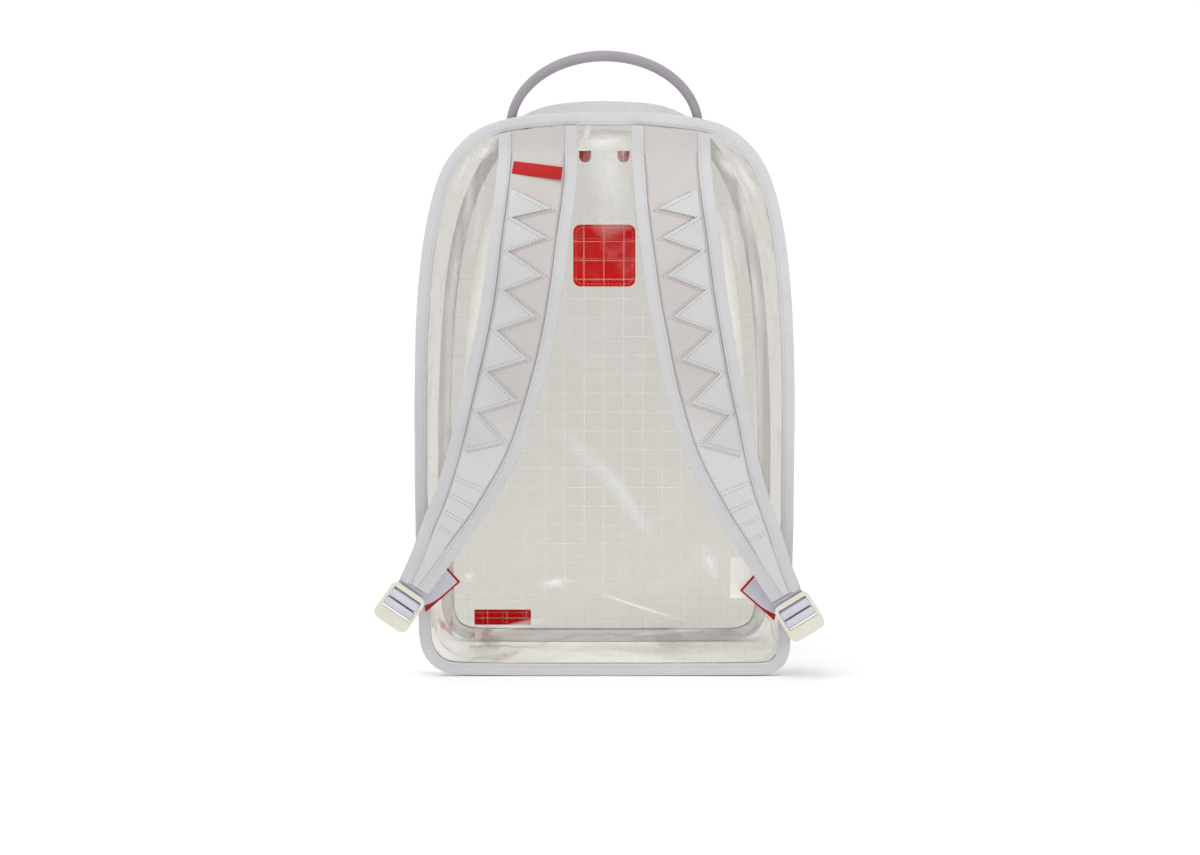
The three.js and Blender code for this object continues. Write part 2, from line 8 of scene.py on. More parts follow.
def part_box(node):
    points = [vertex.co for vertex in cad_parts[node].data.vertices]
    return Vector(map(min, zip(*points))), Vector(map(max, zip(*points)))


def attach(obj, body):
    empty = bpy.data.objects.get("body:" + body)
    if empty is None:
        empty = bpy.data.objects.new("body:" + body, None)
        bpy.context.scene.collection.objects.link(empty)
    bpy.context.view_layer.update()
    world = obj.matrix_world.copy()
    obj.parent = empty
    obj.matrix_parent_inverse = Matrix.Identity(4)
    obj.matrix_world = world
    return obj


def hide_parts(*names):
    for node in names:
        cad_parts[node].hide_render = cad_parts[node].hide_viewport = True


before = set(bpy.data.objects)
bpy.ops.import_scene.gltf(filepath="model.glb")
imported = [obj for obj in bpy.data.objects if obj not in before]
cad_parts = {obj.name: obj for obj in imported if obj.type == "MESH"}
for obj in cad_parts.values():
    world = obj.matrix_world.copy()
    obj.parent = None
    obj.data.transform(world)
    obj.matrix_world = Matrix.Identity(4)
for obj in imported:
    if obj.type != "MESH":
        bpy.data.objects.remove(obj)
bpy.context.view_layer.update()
bpy.ops.object.select_all(action="DESELECT")
print("frame loaded")

mm = 0.001

# Camera and studio
shot = {"target": (-0.0036, 0.0, 0.203), "elevation": 8.0, "distance": 3.3, "lens": 123.0}
studio = {
    "world": 0.5,
    "sun": {"strength": 2.15, "angle": 50, "aim": (0.3, 0.12, -0.95)},
    "boxes": [
        {"place": (0.95, -1.0, 0.55), "size": 0.34, "power": 3.4},
        {"place": (-1.3, -1.7, 1.1), "size": 0.32, "power": 3.2},
        {"place": (0.1, -1.2, 2.0), "size": 0.4, "power": 4.0},
    ],
    # a soft lamp just inside the back film lights what is seen through it
    "inner": {"place": (0, 0.012, 0.212), "wide": 0.26, "tall": 0.37, "power": 0.62},
    "boxAim": (0, 0, 0.25),
    "floor": {
        "size": 80, "below": 0.0004, "colour": (0.92, 0.92, 0.92, 1), "roughness": 0.9, "specular": 0.0,
    },
}


def setCamera():
    rise = math.radians(shot["elevation"])
    target = Vector(shot["target"])
    away = Vector((0, -math.cos(rise), math.sin(rise))) * shot["distance"]
    bpy.ops.object.camera_add(location=target + away)
    camera = bpy.context.object
    camera.rotation_euler = (-away).to_track_quat("-Z", "Y").to_euler()
    camera.data.lens = shot["lens"]
    camera.data.clip_end = 200
    bpy.context.scene.camera = camera


def setStudio():
    bpy.context.scene.view_settings.view_transform = "Standard"
    world = bpy.data.worlds.new("studio")
    bpy.context.scene.world = world
    world.use_nodes = True
    background = world.node_tree.nodes["Background"]
    background.inputs["Color"].default_value = (1, 1, 1, 1)
    background.inputs["Strength"].default_value = studio["world"]
    bpy.ops.object.light_add(type="SUN", location=(0, 0, 4))
    sun = bpy.context.object
    sun.data.energy = studio["sun"]["strength"]
    sun.data.angle = math.radians(studio["sun"]["angle"])
    sun.rotation_euler = Vector(studio["sun"]["aim"]).to_track_quat("-Z", "Y").to_euler()
    for box in studio["boxes"]:
        place = Vector(box["place"])
        bpy.ops.object.light_add(type="AREA", location=place)
        lamp = bpy.context.object
        lamp.data.energy = box["power"]
        lamp.data.size = box["size"]
        lamp.rotation_euler = (Vector(studio["boxAim"]) - place).to_track_quat("-Z", "Y").to_euler()
    facingFront = (math.radians(90), 0, 0)
    bpy.ops.object.light_add(type="AREA", location=studio["inner"]["place"], rotation=facingFront)
    inner = bpy.context.object
    inner.data.shape = "RECTANGLE"
    inner.data.size = studio["inner"]["wide"]
    inner.data.size_y = studio["inner"]["tall"]
    inner.data.energy = studio["inner"]["power"]
    inner.visible_camera = False
    inner.visible_glossy = False
    form = studio["floor"]
    bpy.ops.mesh.primitive_plane_add(size=form["size"], location=(0, 0, -form["below"]))
    floor = bpy.context.object
    floor.name = "floor"
    paint = bpy.data.materials.new("floor_paint")
    paint.use_nodes = True
    shader = paint.node_tree.nodes["Principled BSDF"]
    shader.inputs["Base Color"].default_value = form["colour"]
    shader.inputs["Roughness"].default_value = form["roughness"]
    shader.inputs["Specular IOR Level"].default_value = form["specular"]
    floor.data.materials.append(paint)


setCamera()
setStudio()
print("camera, lights and floor set")


# Mesh helpers
copyForm = {"merge": 0.02 * mm, "flat": 60}
stitchForm = {"segments": 6, "rings": 5, "squash": 0.8}


def only(piece):
    bpy.ops.object.select_all(action="DESELECT")
    piece.select_set(True)
    bpy.context.view_layer.objects.active = piece


def editing(piece, mode="VERT"):
    only(piece)
    bpy.ops.object.mode_set(mode="EDIT")
    bpy.ops.mesh.select_mode(type=mode)
    bpy.ops.mesh.select_all(action="SELECT")


def done():
    bpy.ops.object.mode_set(mode="OBJECT")


def copyOf(node, name, quads=True):
    piece = bpy.data.objects.new(name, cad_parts[node].data.copy())
    piece.data.name = name
    bpy.context.scene.collection.objects.link(piece)
    piece.data.materials.clear()
    editing(piece)
    bpy.ops.mesh.remove_doubles(threshold=copyForm["merge"])
    if quads:
        flat = math.radians(copyForm["flat"])
        bpy.ops.mesh.tris_convert_to_quads(face_threshold=flat, shape_threshold=flat)
    bpy.ops.mesh.normals_make_consistent(inside=False)
    done()
    return piece


def modify(piece, kind, **settings):
    only(piece)
    modifier = piece.modifiers.new(kind.lower(), kind)
    for key, value in settings.items():
        setattr(modifier, key, value)
    bpy.ops.object.modifier_apply(modifier=modifier.name)


def soften(piece, bevel=0.0, segments=2, levels=1, angle=35):
    if bevel:
        limit = math.radians(angle)
        modify(piece, "BEVEL", width=bevel, segments=segments, limit_method="ANGLE", angle_limit=limit)
    if levels:
        modify(piece, "SUBSURF", levels=levels, render_levels=levels)
    only(piece)
    bpy.ops.object.shade_smooth()


def shadeByAngle(piece, angle=40):
    only(piece)
    bpy.ops.object.shade_smooth_by_angle(angle=math.radians(angle))


def cutAcross(piece, axis, step, start, stop):
    editing(piece)
    normal = [0, 0, 0]
    normal[axis] = 1
    place = start
    while place < stop:
        co = [0, 0, 0]
        co[axis] = place
        bpy.ops.mesh.select_all(action="SELECT")
        bpy.ops.mesh.bisect(plane_co=co, plane_no=normal)
        place += step
    done()


def smoothStep(value):
    value = min(max(value, 0.0), 1.0)
    return value * value * (3 - 2 * value)


def loosen(piece, weightAt, name, noise, strength, direction="RGB_TO_XYZ", middle=0.5):
    # gentle waves, held back where weightAt is small
    group = piece.vertex_groups.new(name=name)
    for vertex in piece.data.vertices:
        group.add([vertex.index], weightAt(vertex.co), "REPLACE")
    clouds = bpy.data.textures.get(name) or bpy.data.textures.new(name, "CLOUDS")
    clouds.noise_scale = noise
    clouds.noise_depth = 1
    clouds.cloud_type = "COLOR" if direction == "RGB_TO_XYZ" else "GRAYSCALE"
    modify(
        piece, "DISPLACE", texture=clouds, texture_coords="LOCAL", direction=direction,
        strength=strength, mid_level=middle, vertex_group=name,
    )


def finishPiece(piece, body, slot, material, *nodes):
    piece.data.materials.clear()
    piece.data.materials.append(material)
    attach(piece, body)
    if nodes:
        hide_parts(*nodes)
    return piece


# One small shape placed many times, made into one piece; each place is a point, a run and a face normal.
def repeatShape(base, places, name):
    verts, faces = [], []
    shape = [v.co.copy() for v in base.data.vertices]
    outlines = [list(p.vertices) for p in base.data.polygons]
    for at, run, face in places:
        x = run.normalized()
        z = (face - x * face.dot(x)).normalized()
        turn = Matrix((x, z.cross(x), z)).transposed().to_4x4()
        turn.translation = at
        first = len(verts)
        verts += [turn @ co for co in shape]
        faces += [[first + i for i in outline] for outline in outlines]
    mesh = bpy.data.meshes.new(name)
    mesh.from_pydata(verts, [], faces)
    piece = bpy.data.objects.new(name, mesh)
    bpy.context.scene.collection.objects.link(piece)
    only(piece)
    bpy.ops.object.shade_smooth()
    return piece


def stitchShape(length, radius):
    form = stitchForm
    bpy.ops.mesh.primitive_uv_sphere_add(
        segments=form["segments"], ring_count=form["rings"], radius=1, location=(0, 0, 0)
    )
    stitch = bpy.context.object
    bpy.ops.object.mode_set(mode="EDIT")
    bpy.ops.mesh.select_all(action="SELECT")
    bpy.ops.transform.resize(value=(length / 2, radius, radius * form["squash"]), center_override=(0, 0, 0))
    done()
    return stitch


def evenPlaces(points, pitch):
    # points evenly spaced along a polyline, with the run at each
    out = []
    left = pitch / 2
    for a, b in zip(points, points[1:]):
        run = b - a
        length = run.length
        while left < length:
            out.append((a + run * (left / length), run.normalized()))
            left += pitch
        left -= length
    return out


def dropOn(targets, point, direction):
    best = None
    for target in targets:
        hit, place, normal, _ = target.ray_cast(point, direction)
        if hit and (best is None or (place - point).length < (best[0] - point).length):
            best = (place, normal)
    return best


def removePiece(piece):
    bpy.data.objects.remove(piece, do_unlink=True)


# Shader helpers: a wire is a socket that takes part in sums.
class Wire:
    def __init__(self, tree, socket=None):
        self.tree = tree
        self.socket = socket

    def feed(self, target, value):
        if isinstance(value, Wire):
            self.tree.links.new(value.socket, target)
        else:
            target.default_value = value

    def node(self, kind, settings=None, inputs=None, output=0):
        made = self.tree.nodes.new(kind)
        for key, value in (settings or {}).items():
            setattr(made, key, value)
        for key, value in (inputs or {}).items():
            self.feed(made.inputs[key], value)
        return Wire(self.tree, made.outputs[output])

    def maths(self, operation, other=None, swap=False, clamp=False):
        pair = [self] if other is None else [other, self] if swap else [self, other]
        settings = {"operation": operation, "use_clamp": clamp}
        return self.node("ShaderNodeMath", settings, dict(enumerate(pair)))

    def __add__(self, other):
        return self.maths("ADD", other)

    def __radd__(self, other):
        return self.maths("ADD", other, swap=True)

    def __sub__(self, other):
        return self.maths("SUBTRACT", other)

    def __rsub__(self, other):
        return self.maths("SUBTRACT", other, swap=True)

    def __mul__(self, other):
        return self.maths("MULTIPLY", other)

    def __rmul__(self, other):
        return self.maths("MULTIPLY", other, swap=True)

    def __truediv__(self, other):
        return self.maths("DIVIDE", other)

    def __rtruediv__(self, other):
        return self.maths("DIVIDE", other, swap=True)

    def clamped(self):
        return self.maths("ADD", 0.0, clamp=True)

    def wave(self, length):
        return (self * (2 * math.pi / length)).maths("SINE")

    def axes(self):
        split = self.node("ShaderNodeSeparateXYZ", None, {0: self})
        parts = split.socket.node.outputs
        return [Wire(self.tree, part) for part in parts]

    def noise(self, scale, detail=2.0, roughness=0.5):
        inputs = {"Vector": self, "Scale": scale, "Detail": detail, "Roughness": roughness}
        return self.node("ShaderNodeTexNoise", None, inputs)

    def tint(self, low, high):
        return self.toward((*low, 1), high)

    def toward(self, base, colour):
        inputs = {0: self, 6: base, 7: (*colour, 1)}
        return self.node("ShaderNodeMix", {"data_type": "RGBA"}, inputs, output=2)

    def bump(self, strength, distance):
        return self.node("ShaderNodeBump", None, {"Strength": strength, "Distance": distance, "Height": self})


def newMaterial(name, **constants):
    material = bpy.data.materials.new(name)
    material.use_nodes = True
    tree = material.node_tree
    shader = tree.nodes["Principled BSDF"]
    for key, value in constants.items():
        shader.inputs[key].default_value = value
    wire = Wire(tree)
    return material, wire, shader, wire.node("ShaderNodeTexCoord", output="Object")


# Woven cloth: two crossed rows of threads, a soft mottle and a little wear.
clothGrain = {
    "lean": 0.7, "mottle": 28.0, "mottleShare": 0.7, "fine": 260.0, "fineShare": 0.3,
    "lowShare": 0.85, "uneven": 0.12, "weaveUp": 0.5, "fineUp": 0.5, "plainUp": 0.4, "ribUp": 0.5,
    "sheen": 0.25, "sheenRoughness": 0.5, "specular": 0.3, "threads": 0.12, "bump": 0.35, "depth": 0.12 * mm,
}


def clothMaterial(name, look):
    grain = {**clothGrain, **look}
    constants = {
        "Sheen Weight": grain["sheen"], "Sheen Roughness": grain["sheenRoughness"],
        "Specular IOR Level": grain["specular"],
    }
    material, wire, shader, place = newMaterial(name, **constants)
    x, y, z = place.axes()
    across = (x + y * grain["lean"]).wave(grain["pitch"])
    up = (z + y * grain["lean"]).wave(grain["pitch"])
    weave = (across * up) * 0.5 + 0.5
    mottle = place.noise(grain["mottle"], 3.0)
    fine = place.noise(grain["fine"], 2.0)
    shade = (mottle * grain["mottleShare"] + fine * grain["fineShare"]).clamped()
    colour = shade.tint(grain["dark"], grain["light"])
    if "low" in grain:
        part = ((grain["lowFrom"] - z) / grain["lowOver"]).clamped() * grain["lowShare"]
        colour = part.toward(colour, grain["low"])
    colour = (weave * grain["threads"]).toward(colour, grain["dark"])
    wire.feed(shader.inputs["Base Color"], colour)
    wire.feed(shader.inputs["Roughness"], grain["roughness"] + fine * grain["uneven"])
    if "glow" in grain:
        # painted light: the label glows by its own emission, standing in for light let through the thin satin
        wire.feed(shader.inputs["Emission Color"], colour)
        shader.inputs["Emission Strength"].default_value = grain["glow"]
    height = weave * grain["weaveUp"] + fine * grain["fineUp"]
    if "ribs" in grain:
        acrossX, acrossY, acrossZ = grain["ribs"]
        ribs = (x * acrossX + y * acrossY + z * acrossZ).wave(grain["ribPitch"])
        height = height * grain["plainUp"] + ribs * grain["ribUp"]
    wire.feed(shader.inputs["Normal"], height.bump(grain["bump"], grain["depth"]))
    return material


# Clear film with a grid of fine threads; wall film takes its grid from a UV map that follows the bag's side.
def filmMaterial(name, look, onWall=False):
    constants = {"Roughness": look["roughness"], "Specular IOR Level": look["specular"]}
    material, wire, shader, place = newMaterial(name, **constants)
    if onWall:
        u, v, _ = wire.node("ShaderNodeUVMap", {"uv_map": "wall"}).axes()
    else:
        u, _, v = place.axes()
    wander = place.noise(look["wanderScale"], 1.0)
    u = u + (wander - 0.5) * look["wander"]
    v = v + (wander - 0.5) * look["wander"]
    lines = []
    for coordinate, pitch, offset in zip((u, v), look["pitch"], look["offset"]):
        away = (coordinate - offset).maths("PINGPONG", pitch / 2)
        lines.append(((look["threadWidth"] / 2 - away) / (look["threadWidth"] * look["softEdge"])).clamped())
    threads = lines[0].maths("MAXIMUM", lines[1])
    patchy = ((place.noise(look["patchScale"], 2.0) - look["patchFrom"]) * look["patchGain"]).clamped()
    haze = ((place.noise(look["hazeScale"], 3.0, 0.6) - look["hazeFrom"]) * look["hazeGain"]).clamped()
    fold = (place.noise(look["creaseScale"], 3.0, 0.55) - 0.5).maths("ABSOLUTE")
    creases = (1.0 - (fold * look["creaseSharp"]).clamped()).maths("POWER", look["creasePower"]) * haze
    factor = look["base"] + haze * look["haze"] + creases * look["creases"]
    # painted highlights: each glare streak adds a white share to the film
    glow = threads * 0.0
    for acrossAt, upAt, long, wide, turn, bright in look["glare"]:
        turned = math.radians(turn)
        along = (u - acrossAt * mm) * math.cos(turned) + (v - upAt * mm) * math.sin(turned)
        aside = (v - upAt * mm) * math.cos(turned) - (u - acrossAt * mm) * math.sin(turned)
        aside = aside + (wander - 0.5) * (wide * look["glareWander"] * mm)
        along = (along / (long * mm)).maths("POWER", 2.0)
        aside = (aside / (wide * mm)).maths("POWER", 2.0)
        away = (along + aside).maths("SQRT")
        glow = glow + (1.0 - away).clamped() * bright
    factor = factor + glow
    seen = look["threads"] * look["evenShare"] + patchy * look["threads"] * look["patchyShare"]
    factor = factor.maths("MAXIMUM", threads * seen).clamped()
    # painted highlights: inside the glare streaks the film turns white and diffuse, where plain film only
    # mirrors
    plain = 1.0 - (glow * look["glareFade"]).clamped()
    wire.feed(shader.inputs["Metallic"], (1.0 - threads) * plain * look["shine"])
    wire.feed(shader.inputs["Base Color"], threads.tint(look["colour"], look["threadColour"]))
    ripple = place.noise(look["rippleScale"], 3.0, 0.5)
    wire.feed(shader.inputs["Normal"], ripple.bump(look["rippleBump"], look["rippleDepth"]))
    tree = material.node_tree
    clear = tree.nodes.new("ShaderNodeBsdfTransparent")
    clear.inputs["Color"].default_value = (*look["tint"], 1)
    mix = tree.nodes.new("ShaderNodeMixShader")
    wire.feed(mix.inputs[0], factor)
    tree.links.new(clear.outputs[0], mix.inputs[1])
    tree.links.new(shader.outputs[0], mix.inputs[2])
    tree.links.new(mix.outputs[0], tree.nodes["Material Output"].inputs[0])
    return material


# Moulded plastic, rubber and glossy film
mouldGrain = {
    "scale": 60.0, "grain": 900.0, "uneven": 0.1, "coatSpread": 0.3, "coatRoughness": 0.08,
    "specular": 0.5, "swell": 0.3, "grainUp": 0.12, "bump": 0.2, "depth": 0.2 * mm,
}


def mouldedMaterial(name, look):
    form = {**mouldGrain, **look}
    constants = {"Coat Roughness": form["coatRoughness"], "Specular IOR Level": form["specular"]}
    material, wire, shader, place = newMaterial(name, **constants)
    cloud = place.noise(form["scale"], 3.0)
    grain = place.noise(form["grain"], 1.0)
    wire.feed(shader.inputs["Base Color"], cloud.tint(form["dark"], form["light"]))
    wire.feed(shader.inputs["Roughness"], form["roughness"] + (cloud - 0.5) * form["uneven"])
    if "coat" in form:
        wire.feed(shader.inputs["Coat Weight"], (cloud * form["coatSpread"] + form["coat"]).clamped())
    if "metallic" in form:
        shader.inputs["Metallic"].default_value = form["metallic"]
    height = cloud * form["swell"] + grain * form["grainUp"]
    wire.feed(shader.inputs["Normal"], height.bump(form["bump"], form["depth"]))
    return material


clothLooks = {
    "binding": {
        "dark": (0.52, 0.515, 0.53), "light": (0.64, 0.635, 0.645), "pitch": 1.1 * mm,
        "roughness": 0.7, "threads": 0.14, "bump": 0.6, "depth": 0.25 * mm,
    },
    "strapEdge": {
        "dark": (0.48, 0.473, 0.483), "light": (0.59, 0.583, 0.592), "pitch": 1.1 * mm,
        "roughness": 0.7, "threads": 0.14, "bump": 0.6, "depth": 0.25 * mm,
    },
    "strap": {
        "dark": (0.45, 0.42, 0.408), "light": (0.55, 0.517, 0.502), "pitch": 0.8 * mm,
        "roughness": 0.75, "threads": 0.1, "low": (0.59, 0.588, 0.594), "lowFrom": 0.235, "lowOver": 0.05,
    },
    "overlay": {
        "dark": (0.47, 0.47, 0.476), "light": (0.575, 0.575, 0.581), "pitch": 0.8 * mm,
        "roughness": 0.7, "threads": 0.08,
    },
    "webbing": {
        "dark": (0.47, 0.455, 0.53), "light": (0.66, 0.65, 0.71), "pitch": 1.2 * mm,
        "roughness": 0.7, "ribs": (0.66, 0.2, 0.75), "ribPitch": 2.4 * mm, "bump": 0.5,
    },
    "handle": {
        "dark": (0.235, 0.212, 0.24), "light": (0.34, 0.315, 0.345), "pitch": 1.2 * mm,
        "roughness": 0.75, "ribs": (0, 1, 0), "ribPitch": 2.6 * mm, "bump": 0.5,
    },
    "zipTape": {
        "dark": (0.60, 0.60, 0.58), "light": (0.72, 0.72, 0.70), "pitch": 1.0 * mm, "roughness": 0.75,
    },
    "redTab": {
        "dark": (0.33, 0.003, 0.004), "light": (0.46, 0.005, 0.006), "pitch": 0.9 * mm,
        "roughness": 0.6, "sheen": 0.0,
    },
    "label": {
        "dark": (0.84, 0.83, 0.815), "light": (0.94, 0.93, 0.915), "pitch": 0.6 * mm,
        # the label's glow is painted light, an emission that brightens it
        "roughness": 0.5, "threads": 0.05, "glow": 0.55,
    },
    "thread": {
        "dark": (0.28, 0.27, 0.26), "light": (0.42, 0.40, 0.39), "pitch": 0.5 * mm,
        "roughness": 0.6, "bump": 0.1, "sheen": 0.05,
    },
    "seamThread": {
        "dark": (0.36, 0.355, 0.40), "light": (0.48, 0.475, 0.51), "pitch": 0.5 * mm,
        "roughness": 0.6, "bump": 0.1,
    },
    "redThread": {
        "dark": (0.45, 0.01, 0.01), "light": (0.90, 0.22, 0.16), "pitch": 0.5 * mm,
        "roughness": 0.3, "bump": 0.1, "sheen": 0.05,
    },
}
mouldLooks = {
    "buckle": {"dark": (0.60, 0.585, 0.50), "light": (0.70, 0.685, 0.60), "roughness": 0.38, "coat": 0.1},
    "slider": {"dark": (0.60, 0.60, 0.62), "light": (0.78, 0.78, 0.80), "roughness": 0.3, "metallic": 0.9},
    "teeth": {"dark": (0.62, 0.62, 0.60), "light": (0.74, 0.74, 0.72), "roughness": 0.4},
    "pull": {"dark": (0.55, 0.012, 0.01), "light": (0.78, 0.03, 0.02), "roughness": 0.4, "coat": 0.1},
    "patch": {
        "dark": (0.72, 0.003, 0.003), "light": (0.86, 0.004, 0.004), "roughness": 0.16, "specular": 0.15,
        "swell": 1.0, "scale": 24.0, "depth": 0.6 * mm, "bump": 0.35,
    },
}
filmLook = {
    "tint": (0.868, 0.862, 0.848), "colour": (0.95, 0.95, 0.94), "threadColour": (0.92, 0.86, 0.78),
    "specular": 0.6, "roughness": 0.09, "shine": 0.9, "base": 0.002, "haze": 0.004, "creases": 0.07,
    "pitch": (16.4 * mm, 16.0 * mm), "offset": (-0.4 * mm, 3.4 * mm),
    "threadWidth": 0.5 * mm, "softEdge": 0.35, "threads": 0.34, "evenShare": 0.45, "patchyShare": 0.55,
    "wander": 0.9 * mm, "wanderScale": 9.0, "patchScale": 14.0, "patchFrom": 0.32, "patchGain": 2.6,
    "hazeScale": 7.0, "hazeFrom": 0.42, "hazeGain": 3.0,
    "creaseScale": 11.0, "creaseSharp": 11.0, "creasePower": 3.0,
    "rippleScale": 26.0, "rippleDepth": 2.4 * mm, "rippleBump": 0.6,
    "glare": (), "glareWander": 3, "glareFade": 5.0,
}
# Painted highlights on the back film, as streaks of glare: middle across and up, half length, half width,
# turn in degrees, brightness
backGlare = (
    (-108, 80, 6, 5, 60, 0.55), (-40, 77, 15, 5, 10, 0.45), (86, 93, 16, 5, 110, 0.5),
    (27, 57, 46, 1.6, -18, 0.5), (-4, 164, 58, 9, -48, 0.12), (20, 140, 44, 6, -52, 0.12),
    (-93, 424, 15, 5, 40, 0.5), (97, 413, 16, 6, -55, 0.5), (-108, 387, 34, 5, 80, 0.32),
    (112, 380, 34, 5, 100, 0.32), (-125, 230, 130, 4, 88, 0.3), (124, 230, 120, 4, 92, 0.3),
    (-70, 40, 30, 3, 14, 0.25), (60, 36, 50, 2.5, 5, 0.2), (-113, 408, 22, 3, 62, 0.4),
    (-102, 368, 40, 3, 80, 0.3), (-119, 330, 40, 3, 86, 0.3), (114, 402, 22, 3, 118, 0.4),
    (103, 362, 40, 3, 98, 0.3), (119, 320, 40, 3, 94, 0.3), (0, 398, 44, 28, 90, 0.42),
    (0, 433, 34, 6, 3, 0.35), (-14, 441, 10, 3, 70, 0.4), (16, 430, 10, 2.5, 80, 0.4),
)
cloth = {name: clothMaterial(name + "_cloth", look) for name, look in clothLooks.items()}
moulded = {name: mouldedMaterial(name + "_moulded", look) for name, look in mouldLooks.items()}
faceFilm = filmMaterial("face_film", {**filmLook, "creases": 0.03})
backFaceFilm = filmMaterial("back_face_film", {**filmLook, "glare": backGlare, "threads": 0.16})
wallLook = {
    **filmLook, "tint": (0.922, 0.916, 0.904), "base": 0.02, "haze": 0.09, "creases": 0.9,
    "threads": 0.3, "offset": (0.0, 6.0 * mm),
    "creaseScale": 16.0, "rippleScale": 34.0, "rippleDepth": 4.0 * mm,
}
wallFilm = filmMaterial("wall_film", wallLook, onWall=True)
bottomLook = {**wallLook, "tint": (0.97, 0.968, 0.962), "haze": 0.05}
bottomFilm = filmMaterial("bottom_film", bottomLook, onWall=True)
print("materials made")


# Clear film
filmForm = {
    "faceCut": 9 * mm, "wallCut": 10 * mm, "rimHold": 26 * mm,
    "faceNoise": 0.085, "faceWave": 5.0 * mm, "wallNoise": 0.075, "wallWave": 11 * mm,
    "crumpleNoise": 0.022, "crumple": 4.0 * mm, "shoulder": (0.085, 0.36), "shoulderOver": 0.03,
    "rimFrom": 1.5 * mm, "rimStep": 4 * mm, "firstCut": 4 * mm, "longEdge": 9 * mm,
    # the height that the walls' U runs round; a step shorter than shortStep only crosses the film
    "wallMiddle": 0.22, "shortStep": 6 * mm,
    # the noise value that leaves the film where it is
    "backLevel": 0.25, "frontLevel": 0.5,
}


def rimTree(node):
    # points along the outline of a flat panel
    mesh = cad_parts[node].data
    points = set()
    for polygon in mesh.polygons:
        if abs(polygon.normal.y) < 0.5:
            corners = [mesh.vertices[i].co for i in polygon.vertices]
            for a, b in zip(corners, corners[1:] + corners[:1]):
                steps = max(1, int((b - a).length / filmForm["rimStep"]))
                for k in range(steps + 1):
                    p = a.lerp(b, k / steps)
                    points.add((round(p.x, 4), 0.0, round(p.z, 4)))
    tree = KDTree(len(points))
    for i, p in enumerate(sorted(points)):
        tree.insert(p, i)
    tree.balance()
    return tree


def rimHold(tree):
    def weight(co):
        _, _, away = tree.find((co.x, 0.0, co.z))
        return smoothStep((away - filmForm["rimFrom"]) / filmForm["rimHold"])
    return weight


def shoulderWeight(weight):
    wide, high = filmForm["shoulder"]
    over = filmForm["shoulderOver"]

    def crumpled(co):
        part = smoothStep((abs(co.x) - wide) / over) * smoothStep((co.z - high) / over)
        return weight(co) * part
    return crumpled


def faceSheet(node, name, level, film=faceFilm):
    sheet = copyOf(node, name)
    low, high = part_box(node)
    cutAcross(sheet, 0, filmForm["faceCut"], low.x + filmForm["firstCut"], high.x)
    cutAcross(sheet, 2, filmForm["faceCut"], low.z + filmForm["firstCut"], high.z)
    weight = rimHold(rimTree(node))
    loosen(sheet, weight, name + "_waves", filmForm["faceNoise"], filmForm["faceWave"], "Y", level)
    shadeByAngle(sheet)
    finishPiece(sheet, "bag", "clear_film", film, node)
    return sheet, weight


def wallUv(sheet, centre):
    # U runs round the bag and V from back to front
    backEdge = [v.co.copy() for v in sheet.data.vertices if v.co.y < 0.01]
    angles = sorted((math.atan2(co.x, co.z - centre), co) for co in backEdge)
    table = [(angles[0][0], 0.0)]
    for (_, a), (angle, b) in zip(angles, angles[1:]):
        step = math.hypot(b.x - a.x, b.z - a.z)
        table.append((angle, table[-1][1] + (step if step > filmForm["shortStep"] else 0.0)))
    layer = sheet.data.uv_layers.new(name="wall")
    keys = [row[0] for row in table]
    for loop in sheet.data.loops:
        co = sheet.data.vertices[loop.vertex_index].co
        angle = math.atan2(co.x, co.z - centre)
        k = min(max(sum(1 for key in keys if key <= angle), 1), len(keys) - 1)
        (a0, u0), (a1, u1) = table[k - 1], table[k]
        part = (angle - a0) / (a1 - a0) if a1 > a0 else 0.0
        layer.data[loop.index].uv = (u0 + (u1 - u0) * part, co.y)


def wallSheet(node, name, film):
    sheet = copyOf(node, name)
    low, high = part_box(node)
    cutAcross(sheet, 1, filmForm["wallCut"], low.y + filmForm["firstCut"], high.y - 2 * mm)
    editing(sheet, "EDGE")
    bpy.ops.mesh.select_all(action="DESELECT")
    done()
    for edge in sheet.data.edges:
        a, b = (sheet.data.vertices[i].co for i in edge.vertices)
        edge.select = abs(a.y - b.y) < 1 * mm and (a - b).length > filmForm["longEdge"]
    only(sheet)
    bpy.ops.object.mode_set(mode="EDIT")
    bpy.ops.mesh.select_mode(type="EDGE")
    bpy.ops.mesh.subdivide(number_cuts=1)
    done()

    def weight(co):
        away = min(co.y - low.y, high.y - co.y)
        return smoothStep((away - filmForm["rimFrom"]) / filmForm["rimHold"])

    loosen(sheet, weight, name + "_waves", filmForm["wallNoise"], filmForm["wallWave"])
    loosen(sheet, shoulderWeight(weight), name + "_crumple", filmForm["crumpleNoise"], filmForm["crumple"])
    shadeByAngle(sheet)
    wallUv(sheet, filmForm["wallMiddle"])
    finishPiece(sheet, "bag", "clear_film", film, node)


faceSheet("back_panel", "back_film", filmForm["backLevel"], backFaceFilm)
frontFilm, frontWeight = faceSheet("front_panel", "front_film", filmForm["frontLevel"])
faceSheet("front_band", "crown_film", filmForm["frontLevel"])
wallSheet("side_gusset", "side_film", wallFilm)
wallSheet("bottom_panel", "bottom_film", bottomFilm)
print("film sheets made")


# Folded tape round the two seams, with its row of stitches
tapeForm = {
    "bevel": 0.45 * mm, "noise": 0.035, "wave": 0.9 * mm,
    "stitch": 2.1 * mm, "pitch": 3.0 * mm, "thread": 0.28 * mm, "row": 6.2 * mm,
    # the stitches start clear of the bag, on the strap side and past the front
    "dropFrom": {"back_panel": -0.06, "front_panel": 0.25}, "middle": 0.2,
}


def seamTape(node, name):
    tape = copyOf(node, name)
    soften(tape, tapeForm["bevel"])
    loosen(tape, lambda co: 1.0, name + "_waves", tapeForm["noise"], tapeForm["wave"])
    return finishPiece(tape, "bag", "binding_tape", cloth["binding"], node)


backTape = seamTape("back_binding", "back_tape")
frontTape = seamTape("front_binding", "front_tape")


